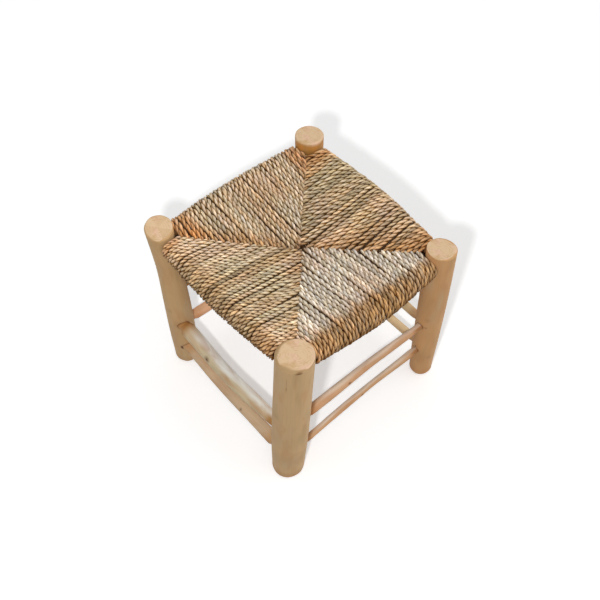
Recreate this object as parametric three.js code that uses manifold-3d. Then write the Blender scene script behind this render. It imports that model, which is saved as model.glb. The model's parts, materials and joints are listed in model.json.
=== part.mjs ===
// Low four-legged stool of peeled poles with a seat woven from twisted palm cord.
// Millimetres, +Z up, the feet stand on z = 0 and the front is towards -Y.
import * as THREE from 'three';
import { mergeVertices } from 'three/addons/utils/BufferGeometryUtils.js';
import Module from 'manifold-3d';

const wasm = await Module();
wasm.setup();

// Driving dimensions
const stoolHeight = 328;
const legSpacing = 291;
const fitClearance = 0.3;

// Legs: a pole each, cut flat at both ends
const frontLeftLegDiameter = 43;
const frontRightLegDiameter = 56;
const backRightLegDiameter = 45;
const backLeftLegDiameter = 46.5;
const footRounding = 6;
const softTopRounding = 4.5;
const topRounding = 2.8;
const crispTopRounding = 1.8;
const slantDepth = 26;

// Seat rails: hidden poles that the cord is wound on
const railDrop = 25;
const railEndDiameter = 18;
const railMiddleDiameter = 28;
const railTenonDiameter = 15;
const railBow = 4.5;
const railShoulderShare = 0.75;

// Stretchers: eight thin poles, two on each side
const frontUpperDiameter = 24;
const frontLowerDiameter = 20;
const rightUpperDiameter = 15;
const rightLowerDiameter = 12.5;
const backUpperDiameter = 16;
const backLowerDiameter = 15;
const leftUpperDiameter = 16;
const leftLowerDiameter = 18;
const stretcherTenonShare = 0.78;
const whittledLength = 9;

// A blind tenon stops this far before the axis of its leg
const tenonStop = 9.5;

// Woven seat: courses of cord laid from each corner to the middle of the rails
const cordDiameter = 6;
const grooveShare = 0.4;
const coursesPerCorner = 19;
const legToCordGap = 0.8;
const mitreRiseAtCorner = 10;
const mitreRiseAtCentre = 0.5;
const undersideDropAtCorner = 15;
const undersideDropAtCentre = 23;

// Facets
const footEdgeShares = [0, 0.12, 0.45, 1];
const topEdgeShares = [1, 0.4, 0];
const legSides = 20;
const legBands = 9;
const poleSides = 12;
const poleBands = 8;
const wrapSteps = 6;

// Each leg leans and bends in its own way: places are shares of the leg spacing, the
// girths from foot to top are shares of the leg's own diameter, and the length is a share
// of the stool's height. The top is sawn off at a slant, given as its rise along X and Y,
// and its edge is worn more on one side, so the flat face lies off the axis by shares of
// its rounding.
const legs = {
  frontLeft: {
    side: [-1, -1],
    diameter: frontLeftLegDiameter,
    rounding: topRounding,
    lengthShare: 1,
    footShares: [0.03, 0.016],
    topShares: [-0.011, -0.002],
    bowShares: [0.008, 0.006],
    girthShares: [0.94, 1.02, 1, 0.9, 1],
    slantShares: [-0.24, 0.125],
    wearShares: [0, 0],
  },
  frontRight: {
    side: [1, -1],
    diameter: frontRightLegDiameter,
    rounding: softTopRounding,
    lengthShare: 1,
    footShares: [-0.021, 0.001],
    topShares: [0.01, 0.025],
    bowShares: [0, 0],
    girthShares: [0.92, 1, 1.01, 1, 1],
    slantShares: [0, 0],
    wearShares: [0.2, 0.9],
  },
  backRight: {
    side: [1, 1],
    diameter: backRightLegDiameter,
    rounding: topRounding,
    lengthShare: 1,
    footShares: [0.004, 0.006],
    topShares: [0.011, -0.02],
    bowShares: [0, 0.003],
    girthShares: [0.85, 0.93, 0.97, 1, 1.02],
    slantShares: [0.04, -0.057],
    wearShares: [-0.3, -0.9],
  },
  backLeft: {
    side: [-1, 1],
    diameter: backLeftLegDiameter,
    rounding: crispTopRounding,
    lengthShare: 1.012,
    footShares: [-0.006, -0.003],
    topShares: [-0.006, -0.003],
    bowShares: [0.004, 0],
    girthShares: [0.94, 1, 1.01, 0.98, 1],
    slantShares: [0.052, -0.047],
    wearShares: [0, 0],
  },
};

// The two legs of each side, the first one at the start of its poles
const sides = {
  front: ['frontLeft', 'frontRight'],
  right: ['frontRight', 'backRight'],
  back: ['backRight', 'backLeft'],
  left: ['backLeft', 'frontLeft'],
};

// How much each seat rail bends outward, as a share of the largest bend
const railBowShares = { front: 0.6, right: 1, back: 1, left: 0.3 };

// Heights are shares of the stool's height at the first and the second leg, outward
// places and bows (outward, up) are shares of the leg spacing
const stretchers = [
  {
    name: 'stretcher_front_upper',
    side: 'front',
    diameter: frontUpperDiameter,
    heightShares: [0.336, 0.314],
    outwardShares: [0.024, 0.006],
    bowShares: [0.01, -0.018],
    girthShares: [1.06, 1, 0.9],
  },
  {
    name: 'stretcher_front_lower',
    side: 'front',
    diameter: frontLowerDiameter,
    heightShares: [0.152, 0.126],
    outwardShares: [0.024, 0.012],
    bowShares: [0.004, -0.006],
    girthShares: [0.8, 0.98, 1.08],
  },
  {
    name: 'stretcher_right_upper',
    side: 'right',
    diameter: rightUpperDiameter,
    heightShares: [0.402, 0.448],
    outwardShares: [0, 0],
    bowShares: [0, 0.014],
    girthShares: [1.08, 0.98, 0.84],
  },
  {
    name: 'stretcher_right_lower',
    side: 'right',
    diameter: rightLowerDiameter,
    heightShares: [0.116, 0.235],
    outwardShares: [0, 0],
    bowShares: [0, 0.024],
    girthShares: [0.9, 0.86, 1.02],
  },
  {
    name: 'stretcher_back_upper',
    side: 'back',
    diameter: backUpperDiameter,
    heightShares: [0.39, 0.4],
    outwardShares: [0, 0],
    bowShares: [0.006, -0.006],
    girthShares: [0.98, 1.02, 0.95],
  },
  {
    name: 'stretcher_back_lower',
    side: 'back',
    diameter: backLowerDiameter,
    heightShares: [0.19, 0.17],
    outwardShares: [0, 0],
    bowShares: [-0.004, 0.006],
    girthShares: [0.95, 1, 1.02],
  },
  {
    name: 'stretcher_left_upper',
    side: 'left',
    diameter: leftUpperDiameter,
    heightShares: [0.53, 0.55],
    outwardShares: [0, 0],
    bowShares: [0.004, 0.004],
    girthShares: [1, 1.02, 0.96],
  },
  {
    name: 'stretcher_left_lower',
    side: 'left',
    diameter: leftLowerDiameter,
    heightShares: [0.2, 0.28],
    outwardShares: [0, 0],
    bowShares: [0, -0.01],
    girthShares: [0.92, 1, 1.02],
  },
];

const poleWood = new THREE.MeshStandardMaterial({ color: 0xc39a6a, roughness: 0.7, metalness: 0 });
const legWood = new THREE.MeshStandardMaterial({ color: 0xcfab7b, roughness: 0.65, metalness: 0 });
const palmCord = new THREE.MeshStandardMaterial({ color: 0xc4a777, roughness: 0.9, metalness: 0 });

// A smooth curve through evenly spaced values, read at a share of its length
function smoothThrough(values, share) {
  const points = values.map((value, index) => new THREE.Vector2(index, value));
  return new THREE.SplineCurve(points).getPoint(share).y;
}

// How far a rounded edge draws a radius in, at a distance from the flat end
function edgeDraw(rounding, distance) {
  if (distance >= rounding) return 0;
  const rise = rounding - distance;
  return rounding - Math.sqrt(rounding * rounding - rise * rise);
}

// A closed tube of rings: ring(i) gives the centre, the radius and the two directions
// across the tube, and each end is a fan round its own centre
function loftRings(ringCount, sideCount, ring) {
  const places = [];
  for (let i = 0; i < ringCount; i += 1) {
    const { centre, radius, across, upward } = ring(i);
    for (let k = 0; k < sideCount; k += 1) {
      const angle = (2 * Math.PI * k) / sideCount;
      const point = centre.clone();
      point.addScaledVector(across, radius * Math.cos(angle));
      point.addScaledVector(upward, radius * Math.sin(angle));
      places.push(point.x, point.y, point.z);
    }
  }
  const first = ring(0).centre;
  const last = ring(ringCount - 1).centre;
  places.push(first.x, first.y, first.z, last.x, last.y, last.z);
  const firstCentre = ringCount * sideCount;
  const lastCentre = firstCentre + 1;
  const faces = [];
  for (let k = 0; k < sideCount; k += 1) {
    const next = (k + 1) % sideCount;
    for (let i = 0; i < ringCount - 1; i += 1) {
      const low = i * sideCount;
      const high = low + sideCount;
      faces.push(low + k, low + next, high + next);
      faces.push(low + k, high + next, high + k);
    }
    const top = (ringCount - 1) * sideCount;
    faces.push(firstCentre, next, k);
    faces.push(lastCentre, top + k, top + next);
  }
  return closedGeometry(places, faces);
}

function closedGeometry(places, faces) {
  const geometry = new THREE.BufferGeometry();
  geometry.setAttribute('position', new THREE.Float32BufferAttribute(places, 3));
  geometry.setIndex(faces);
  return geometry;
}

function toSolid(geometry) {
  const bare = new THREE.BufferGeometry();
  bare.setAttribute('position', geometry.getAttribute('position'));
  bare.setIndex(geometry.getIndex());
  const merged = mergeVertices(bare);
  return new wasm.Manifold(new wasm.Mesh({
    numProp: 3,
    vertProperties: new Float32Array(merged.getAttribute('position').array),
    triVerts: new Uint32Array(merged.getIndex().array),
  }));
}

function toGeometry(solid) {
  const mesh = solid.getMesh();
  return closedGeometry(Array.from(mesh.vertProperties), Array.from(mesh.triVerts));
}

// Legs

function legCentre(leg, share) {
  const [sideX, sideY] = leg.side;
  const bend = Math.sin(Math.PI * share);
  const shiftX = THREE.MathUtils.lerp(leg.footShares[0], leg.topShares[0], share);
  const shiftY = THREE.MathUtils.lerp(leg.footShares[1], leg.topShares[1], share);
  return new THREE.Vector3(
    legSpacing * (sideX / 2 + shiftX + leg.bowShares[0] * bend),
    legSpacing * (sideY / 2 + shiftY + leg.bowShares[1] * bend),
    stoolHeight * share,
  );
}

function legRadius(leg, share) {
  return (leg.diameter / 2) * smoothThrough(leg.girthShares, share);
}

// The heights of the rings: close together on the two rounded ends
function legHeights(leg) {
  const heights = footEdgeShares.map((share) => footRounding * share);
  const top = stoolHeight * leg.lengthShare;
  const first = footRounding;
  const last = top - leg.rounding;
  for (let i = 1; i < legBands; i += 1) {
    heights.push(first + ((last - first) * i) / legBands);
  }
  heights.push(...topEdgeShares.map((share) => top - leg.rounding * share));
  return heights;
}

// The leg itself, or the leg grown all round by a clearance for cutting what stands by it
function legGeometry(leg, grown) {
  const heights = legHeights(leg);
  const top = heights[heights.length - 1];
  return loftRings(heights.length, legSides, (i) => {
    const height = heights[i];
    const share = height / stoolHeight;
    const slanted = THREE.MathUtils.smoothstep(height, top - slantDepth, top);
    const across = new THREE.Vector3(1, 0, leg.slantShares[0] * slanted);
    const upward = new THREE.Vector3(0, 1, leg.slantShares[1] * slanted);
    const footDraw = edgeDraw(footRounding, height);
    const topDraw = edgeDraw(leg.rounding, top - height);
    const radius = legRadius(leg, share) - footDraw - topDraw + grown;
    const centre = legCentre(leg, share);
    centre.x += topDraw * leg.wearShares[0];
    centre.y += topDraw * leg.wearShares[1];
    return { centre, radius, across, upward };
  });
}

// Poles from leg to leg

// A pole's axis and radius at a share of the way between its two legs. Its tenons stop
// short of the leg axes, its ends are whittled down to them, and its middle bows.
function poleRoute(pole) {
  const [firstName, secondName] = sides[pole.side];
  const first = legs[firstName];
  const second = legs[secondName];
  const start = legCentre(first, pole.heightShares[0]);
  const end = legCentre(second, pole.heightShares[1]);
  const along = end.clone().sub(start).setZ(0).normalize();
  const outward = new THREE.Vector3(along.y, -along.x, 0);
  start.addScaledVector(outward, legSpacing * pole.outwardShares[0]);
  end.addScaledVector(outward, legSpacing * pole.outwardShares[1]);
  const span = start.distanceTo(end);
  const firstFace = legRadius(first, pole.heightShares[0]);
  const secondFace = legRadius(second, pole.heightShares[1]);
  const bodyLength = span - firstFace - secondFace;
  const axisAt = (distance) => {
    const point = start.clone().lerp(end, distance / span);
    const share = THREE.MathUtils.clamp((distance - firstFace) / bodyLength, 0, 1);
    const bend = Math.sin(Math.PI * share) ** 2;
    point.addScaledVector(outward, legSpacing * pole.bowShares[0] * bend);
    point.z += legSpacing * pole.bowShares[1] * bend;
    return point;
  };
  const radiusAt = (distance) => {
    const share = THREE.MathUtils.clamp((distance - firstFace) / bodyLength, 0, 1);
    const fromFace = Math.min(distance - firstFace, span - secondFace - distance);
    const cone = THREE.MathUtils.smoothstep(fromFace, 0, pole.whittled);
    const body = (pole.diameter / 2) * smoothThrough(pole.girthShares, share);
    return THREE.MathUtils.lerp(pole.tenonDiameter / 2, body, cone);
  };
  return { span, firstFace, secondFace, along, outward, axisAt, radiusAt };
}

// Ring places along a pole: the tips, the faces of the legs, the whittled cones and the body
function poleStations(pole, route, extra) {
  const firstTip = tenonStop - extra;
  const lastTip = route.span - tenonStop + extra;
  const bodyStart = route.firstFace + pole.whittled;
  const bodyEnd = route.span - route.secondFace - pole.whittled;
  const stations = [firstTip, route.firstFace, route.firstFace + pole.whittled / 2];
  for (let i = 0; i <= poleBands; i += 1) {
    stations.push(THREE.MathUtils.lerp(bodyStart, bodyEnd, i / poleBands));
  }
  stations.push(bodyEnd + pole.whittled / 2, route.span - route.secondFace, lastTip);
  return stations;
}

// The pole itself, or the pole grown all round by a clearance for cutting its mortises
function poleGeometry(pole, grown) {
  const route = poleRoute(pole);
  const stations = poleStations(pole, route, grown);
  const across = new THREE.Vector3(0, 0, 1);
  return loftRings(stations.length, poleSides, (i) => ({
    centre: route.axisAt(stations[i]),
    radius: route.radiusAt(stations[i]) + grown,
    across,
    upward: route.outward,
  }));
}

// Woven seat

const railHeight = stoolHeight - railDrop;
const half = legSpacing / 2;
const corners = ['frontLeft', 'frontRight', 'backRight', 'backLeft'];

// A place in the seat's own square, moved to the four legs as they really stand
function seatPlace(squareX, squareY, height) {
  const shareX = (squareX + half) / legSpacing;
  const shareY = (squareY + half) / legSpacing;
  const share = railHeight / stoolHeight;
  const [frontLeft, frontRight, backRight, backLeft] = corners.map((name) => legCentre(legs[name], share));
  const front = frontLeft.lerp(frontRight, shareX);
  const back = backLeft.lerp(backRight, shareX);
  return front.lerp(back, shareY).setZ(height);
}

// One course of cord seen from the end of its rail: inward distance and height from the
// line of the leg axes, from the mitre on top over the rail and back to the mitre
// underneath. The cord lies straight from a mitre to where it touches the rail's circle.
function courseOutline(side, inset, sunk) {
  const alongRail = Math.sin((Math.PI * inset) / legSpacing);
  const railRadius = THREE.MathUtils.lerp(railEndDiameter, railMiddleDiameter, alongRail) / 2;
  const radius = railRadius + cordDiameter - sunk;
  const bow = railBow * railBowShares[side] * alongRail * alongRail;
  const reach = inset + bow;
  const toCentre = inset / half;
  const topHeight = THREE.MathUtils.lerp(mitreRiseAtCorner, mitreRiseAtCentre, toCentre) - sunk;
  const drop = THREE.MathUtils.lerp(undersideDropAtCorner, undersideDropAtCentre, toCentre);
  const bottomHeight = sunk - drop;
  const topTouch = Math.atan2(topHeight, reach) + Math.acos(radius / Math.hypot(reach, topHeight));
  const bottomSpread = Math.acos(radius / Math.hypot(reach, bottomHeight));
  const bottomTouch = Math.atan2(bottomHeight, reach) - bottomSpread;
  const outline = [[inset, topHeight]];
  for (let i = 0; i <= wrapSteps; i += 1) {
    const angle = THREE.MathUtils.lerp(topTouch, 2 * Math.PI + bottomTouch, i / wrapSteps);
    outline.push([radius * Math.cos(angle) - bow, radius * Math.sin(angle)]);
  }
  outline.push([inset, bottomHeight]);
  return outline;
}

// Insets of the grooves and crests of one corner, from its leg to the middle of the seat
function courseInsets(leg) {
  const first = legRadius(leg, railHeight / stoolHeight) + legToCordGap;
  const lineCount = 2 * coursesPerCorner;
  const insets = [];
  for (let j = 0; j <= lineCount; j += 1) {
    insets.push(THREE.MathUtils.lerp(first, half, j / lineCount));
  }
  return insets;
}

// The seat is one skin of ridges in four triangles. Each corner gives half of two
// triangles, which share their mitre, and each half closes with a flat end at the leg.
function seatGeometry() {
  const places = [];
  const faces = [];
  for (const name of corners) {
    const leg = legs[name];
    const [sideX, sideY] = leg.side;
    const insets = courseInsets(leg);
    for (const alongX of [true, false]) {
      const side = alongX ? (sideY < 0 ? 'front' : 'back') : (sideX < 0 ? 'left' : 'right');
      const start = places.length / 3;
      const flip = (sideX * sideY > 0) !== alongX;
      for (let j = 0; j < insets.length; j += 1) {
        const sunk = j % 2 === 0 ? cordDiameter * grooveShare : 0;
        for (const [inward, height] of courseOutline(side, insets[j], sunk)) {
          const fromX = alongX ? insets[j] : inward;
          const fromY = alongX ? inward : insets[j];
          const point = seatPlace(sideX * (half - fromX), sideY * (half - fromY), railHeight + height);
          places.push(point.x, point.y, point.z);
        }
      }
      const pointCount = wrapSteps + 3;
      const addFace = (a, b, c) => (flip ? faces.push(a, c, b) : faces.push(a, b, c));
      for (let m = 0; m < pointCount - 1; m += 1) {
        for (let j = 0; j < insets.length - 1; j += 1) {
          const low = start + j * pointCount + m;
          const high = low + pointCount;
          addFace(low, low + 1, high + 1);
          addFace(low, high + 1, high);
        }
        if (m > 0) addFace(start, start + m + 1, start + m);
      }
    }
  }
  return closedGeometry(places, faces);
}

// Assembly

const railEndShare = railEndDiameter / railMiddleDiameter;
const railQuarterShare = THREE.MathUtils.lerp(railEndShare, 1, railShoulderShare);
const railGirthShares = [railEndShare, railQuarterShare, 1, railQuarterShare, railEndShare];

const rails = Object.keys(sides).map((side) => ({
  name: `seat_rail_${side}`,
  side,
  diameter: railMiddleDiameter,
  tenonDiameter: railTenonDiameter,
  whittled: whittledLength,
  heightShares: [railHeight / stoolHeight, railHeight / stoolHeight],
  outwardShares: [0, 0],
  bowShares: [(railBow * railBowShares[side]) / legSpacing, 0],
  girthShares: railGirthShares,
}));

for (const stretcher of stretchers) {
  stretcher.tenonDiameter = stretcher.diameter * stretcherTenonShare;
  stretcher.whittled = whittledLength;
}

const stool = new THREE.Group();

function addPiece(name, geometry, material) {
  const mesh = new THREE.Mesh(geometry, material);
  mesh.name = name;
  stool.add(mesh);
  return mesh;
}

const poles = [...rails, ...stretchers];
for (const pole of poles) {
  addPiece(pole.name, poleGeometry(pole, 0), poleWood);
}

const legNames = {
  frontLeft: 'leg_front_left',
  frontRight: 'leg_front_right',
  backRight: 'leg_back_right',
  backLeft: 'leg_back_left',
};
for (const [key, name] of Object.entries(legNames)) {
  let solid = toSolid(legGeometry(legs[key], 0));
  for (const pole of poles) {
    if (sides[pole.side].includes(key)) {
      solid = solid.subtract(toSolid(poleGeometry(pole, fitClearance)));
    }
  }
  addPiece(name, toGeometry(solid), legWood);
}

let seat = toSolid(seatGeometry());
for (const rail of rails) {
  seat = seat.subtract(toSolid(poleGeometry(rail, fitClearance)));
}
for (const name of corners) {
  seat = seat.subtract(toSolid(legGeometry(legs[name], fitClearance)));
}
addPiece('woven_seat', toGeometry(seat), palmCord);

// The middle of the whole outline goes to x = 0, y = 0
const outline = new THREE.Box3().setFromObject(stool);
stool.position.x = -(outline.min.x + outline.max.x) / 2;
stool.position.y = -(outline.min.y + outline.max.y) / 2;

export default stool;
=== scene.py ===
import json
import math
import bpy
import numpy as np
from mathutils import Matrix, Vector


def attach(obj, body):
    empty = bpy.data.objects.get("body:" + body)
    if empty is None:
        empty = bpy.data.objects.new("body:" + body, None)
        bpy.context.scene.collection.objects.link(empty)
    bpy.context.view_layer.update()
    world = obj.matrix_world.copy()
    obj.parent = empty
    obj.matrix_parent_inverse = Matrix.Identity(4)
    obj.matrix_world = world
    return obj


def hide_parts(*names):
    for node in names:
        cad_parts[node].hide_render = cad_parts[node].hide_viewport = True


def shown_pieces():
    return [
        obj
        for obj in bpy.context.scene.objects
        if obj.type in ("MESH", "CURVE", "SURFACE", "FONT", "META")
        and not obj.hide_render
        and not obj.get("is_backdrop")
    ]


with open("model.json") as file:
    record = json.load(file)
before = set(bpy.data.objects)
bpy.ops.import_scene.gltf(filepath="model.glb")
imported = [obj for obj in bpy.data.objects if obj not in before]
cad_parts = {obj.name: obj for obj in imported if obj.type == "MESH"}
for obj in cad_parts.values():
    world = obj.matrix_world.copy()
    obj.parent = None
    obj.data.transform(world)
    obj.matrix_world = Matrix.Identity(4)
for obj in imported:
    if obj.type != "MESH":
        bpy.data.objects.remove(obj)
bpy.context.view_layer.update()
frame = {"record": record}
print("frame loaded")

millimetre = 0.001
fullTurn = 2 * math.pi

# The stool in millimetres, before the shift that centres its outline
stool = {"height": 328, "legSpacing": 291, "railHeight": 303}
spacing = stool["legSpacing"]
half = spacing / 2
railShare = stool["railHeight"] / stool["height"]

# Lean of foot and top and bow: shares of the leg spacing. Girths: from foot to top.
# Marks: degrees round, height, half width, half height, darkness; dashes and checks in the wood, and beside some joints
# painted shade in the gap round the tenon. Knots: degrees round, height, size.
usualLeg = {
    "lengthShare": 1, "bow": (0, 0), "slant": (0, 0), "wear": (0, 0),
    "lowShade": (0.09, 0.17, 0.22), "rimShade": 0, "sawnShare": 1, "frayed": 0.01, "paintedTopShading": None, "marks": [],
}
legs = {
    "leg_front_left": {
        "side": (-1, -1), "diameter": 43, "rounding": 2.8,
        "foot": (0.03, 0.016), "top": (-0.011, -0.002), "bow": (0.008, 0.006),
        "girths": (0.94, 1.02, 1, 0.9, 1), "slant": (-0.24, 0.125),
        # Its end takes in some of the side's colour: painted shade on an end that its slant turns to the light
        "tint": (211, 173, 124), "sawnShare": 0.7, "seed": 11,
        "marks": [(-47, 47.5, 3.2, 4.6, 1), (-6, 112, 0.7, 13, 0.45)],
        "knots": [(-70, 150, 5), (20, 215, 4), (150, 96, 5.5)],
    },
    "leg_front_right": {
        "side": (1, -1), "diameter": 56, "rounding": 4.5,
        "foot": (-0.021, 0.001), "top": (0.01, 0.025),
        "girths": (0.92, 1, 1.01, 1, 1), "wear": (0.2, 0.9),
        "tint": (209, 173, 126), "lowShade": (0.14, 0.27, 0.34), "rimShade": 0.22, "seed": 23,
        "marks": [(-29, 324, 5, 1.5, 0.8), (-28, 326.3, 4.4, 0.7, 0.4),
                  (-63, 296, 0.6, 15, 0.3), (-62, 283, 0.8, 4.5, 0.45)],
        "knots": [(-95, 190, 6), (30, 120, 5), (160, 220, 6)],
    },
    "leg_back_right": {
        "side": (1, 1), "diameter": 45, "rounding": 2.8,
        "foot": (0.004, 0.006), "top": (0.011, -0.02), "bow": (0, 0.003),
        "girths": (0.85, 0.93, 0.97, 1, 1.02), "slant": (0.04, -0.057), "wear": (-0.3, -0.9),
        "tint": (214, 164, 112), "seed": 37,
        "marks": [(-93, 147.5, 2, 3.2, 1), (-62, 148, 2.2, 1.6, 0.45), (-96, 83, 1.6, 2.6, 0.7)],
        "knots": [(-60, 170, 4.5), (-20, 60, 5), (110, 200, 5)],
    },
    "leg_back_left": {
        "side": (-1, 1), "diameter": 46.5, "rounding": 1.8, "lengthShare": 1.012,
        "foot": (-0.006, -0.003), "top": (-0.006, -0.003), "bow": (0.004, 0),
        "girths": (0.94, 1, 1.01, 0.98, 1), "slant": (0.052, -0.047),
        # Its darker orange band under the end is painted shade
        "tint": (222, 176, 116), "paintedTopShading": (206, 146, 74), "frayed": 7, "seed": 41,
        "knots": [(-10, 120, 5), (100, 240, 5), (-150, 180, 5.5)],
    },
}
legs = {name: {**usualLeg, **leg} for name, leg in legs.items()}

sides = {
    "front": ("leg_front_left", "leg_front_right"),
    "right": ("leg_front_right", "leg_back_right"),
    "back": ("leg_back_right", "leg_back_left"),
    "left": ("leg_back_left", "leg_front_left"),
}

rails = {
    "endDiameter": 18, "middleDiameter": 28, "tenonDiameter": 15, "bow": 4.5, "shoulder": 0.75,
    "bowShares": {"front": 0.6, "right": 1, "back": 1, "left": 0.3},
    "tint": (186, 142, 98), "endTint": (160, 112, 70), "firstSeed": 91,
}

# Heights at the two legs: shares of the height. Outward places there, and bow outward and
# up: shares of the leg spacing. Knots: share of the length, degrees round, size.
stretchers = {
    "stretcher_front_upper": {
        "diameter": 24, "heights": (0.336, 0.314), "outward": (0.024, 0.006),
        "bow": (0.01, -0.018), "girths": (1.06, 1, 0.9), "knots": [(0.32, 64, 5.2), (0.62, 195, 3.4)],
        "tint": (222, 203, 166), "paintedTopShading": (255, 254, 246), "endTint": (186, 138, 80), "seed": 53,
    },
    "stretcher_front_lower": {
        "diameter": 20, "heights": (0.152, 0.126), "outward": (0.024, 0.012),
        "bow": (0.004, -0.006), "girths": (0.8, 0.98, 1.08), "knots": [(0.66, 50, 2.6), (0.3, 150, 3.5)],
        "tint": (217, 186, 150), "endTint": (200, 160, 116), "seed": 59,
    },
    "stretcher_right_upper": {
        "diameter": 15, "heights": (0.402, 0.448),
        "bow": (0, 0.014), "girths": (1.08, 0.98, 0.84), "knots": [(0.35, 70, 2.6), (0.66, 140, 2.6)],
        "tint": (210, 163, 122), "paintedTopShading": (244, 218, 194), "endTint": (176, 122, 74), "seed": 61,
    },
    "stretcher_right_lower": {
        "diameter": 12.5, "heights": (0.116, 0.235),
        "bow": (0, 0.024), "girths": (0.9, 0.86, 1.02), "knots": [(0.5, 80, 2.2)],
        "tint": (206, 162, 120), "paintedTopShading": (238, 216, 194), "endTint": (176, 124, 78), "seed": 67,
    },
    "stretcher_back_upper": {
        "diameter": 16, "heights": (0.39, 0.4),
        "bow": (0.006, -0.006), "girths": (0.98, 1.02, 0.95), "knots": [(0.4, 70, 2.8)],
        "tint": (236, 206, 160), "endTint": (200, 158, 112), "seed": 71,
    },
    "stretcher_back_lower": {
        "diameter": 15, "heights": (0.19, 0.17),
        "bow": (-0.004, 0.006), "girths": (0.95, 1, 1.02), "knots": [(0.6, 110, 2.8)],
        "tint": (238, 208, 162), "endTint": (200, 158, 112), "seed": 73,
    },
    "stretcher_left_upper": {
        "diameter": 16, "heights": (0.53, 0.55),
        "bow": (0.004, 0.004), "girths": (1, 1.02, 0.96), "knots": [(0.5, 60, 2.8)],
        "tint": (198, 158, 112), "endTint": (174, 126, 80), "seed": 79,
    },
    "stretcher_left_lower": {
        "diameter": 18, "heights": (0.2, 0.28),
        "bow": (0, -0.01), "girths": (0.92, 1, 1.02), "knots": [(0.35, 100, 3)],
        "tint": (240, 186, 146), "endTint": (226, 168, 124), "seed": 83,
    },
}


def lerp(a, b, share):
    return a + (b - a) * share


def ease(t):
    return t * t * (3 - 2 * t)


def ramp(value, low, high):
    return ease(np.clip((value - low) / (high - low), 0, 1))


def bell(value):
    # 1 at zero, falling away smoothly on both sides
    return np.exp(-value ** 2)


def linear(rgb):
    # sRGB 0..255 to linear
    c = np.asarray(rgb, float) / 255
    return np.where(c <= 0.04045, c / 12.92, ((c + 0.055) / 1.055) ** 2.4)


def smoothThrough(values, share):
    # Catmull-Rom curve through evenly spaced values, read at shares of its length
    values = np.asarray(values, float)
    last = len(values) - 1
    place = np.clip(np.asarray(share, float), 0, 1) * last
    index = np.minimum(np.floor(place).astype(int), last)
    t = place - index
    before, here, after, beyond = (values[np.clip(index + k, 0, last)] for k in (-1, 0, 1, 2))
    startSlope = (after - before) / 2
    endSlope = (beyond - here) / 2
    cubic = 2 * here - 2 * after + startSlope + endSlope
    square = -3 * here + 3 * after - 2 * startSlope - endSlope
    return ((cubic * t + square) * t + startSlope) * t + here


def valueNoise(place, seed):
    # Smooth noise -1..1 on a line: random values at whole numbers, eased between them
    table = np.random.default_rng(seed).uniform(-1, 1, 1024)
    low = np.floor(place).astype(int)
    return lerp(table[low % 1024], table[(low + 1) % 1024], ease(place - low))


def planeNoise(x, y, seed):
    # Smooth noise -1..1 on a plane: the same as valueNoise, in two directions
    table = np.random.default_rng(seed).uniform(-1, 1, (64, 64))
    lowX, lowY = np.floor(x).astype(int), np.floor(y).astype(int)
    shareX, shareY = ease(x - lowX), ease(y - lowY)
    left, right, near, far = lowX % 64, (lowX + 1) % 64, lowY % 64, (lowY + 1) % 64
    return lerp(lerp(table[left, near], table[right, near], shareX),
                lerp(table[left, far], table[right, far], shareX), shareY)


def legCentre(leg, share):
    # The leg's axis: a straight lean from foot to top, bowed by half a sine wave
    share = np.asarray(share, float)
    x, y = (spacing * (leg["side"][k] / 2 + lerp(leg["foot"][k], leg["top"][k], share)
                                   + leg["bow"][k] * np.sin(math.pi * share)) for k in (0, 1))
    return np.stack([x, y, stool["height"] * share], -1)


def legRadius(leg, share):
    return leg["diameter"] / 2 * smoothThrough(leg["girths"], share)


# The shift that centres the outline, read from the feet that the record names
mountPlaces = {m["name"]: np.array(m["pos_m"]) / millimetre for m in frame["record"]["mounts"]}
planShift = np.mean([mountPlaces[name.replace("leg", "foot", 1)] - legCentre(leg, 0)
                     for name, leg in legs.items()], axis=0)
print("plan shift", planShift.round(3))


def addObject(name, data):
    made = bpy.data.objects.new(name, data)
    bpy.context.scene.collection.objects.link(made)
    return made


def tubeFaces(ringCount, sideCount, start=0):
    # Quads between neighbouring rings, and a fan round each end's centre point
    k = np.arange(sideCount)
    after = (k + 1) % sideCount
    ring = np.arange(ringCount - 1)[:, None] * sideCount + start
    quads = np.stack([ring + k, ring + after, ring + sideCount + after, ring + sideCount + k], -1).reshape(-1, 4)
    firstCentre = start + ringCount * sideCount
    last = firstCentre - sideCount
    startFan = np.stack([np.full(sideCount, firstCentre), after + start, k + start], -1)
    endFan = np.stack([np.full(sideCount, firstCentre + 1), last + k, last + after], -1)
    return quads, np.concatenate([startFan, endFan])


def withEnds(grid, ends):
    # The values of a grid ring by ring, and then those of the two end points
    return np.concatenate([grid.reshape(-1, *grid.shape[2:]), ends])


def signedVolume(points, quads, triangles):
    corners = np.concatenate([quads[:, [0, 1, 2]], quads[:, [0, 2, 3]], triangles])
    a, b, c = points[corners[:, 0]], points[corners[:, 1]], points[corners[:, 2]]
    return np.einsum("ij,ij->i", a, np.cross(b, c)).sum() / 6


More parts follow.
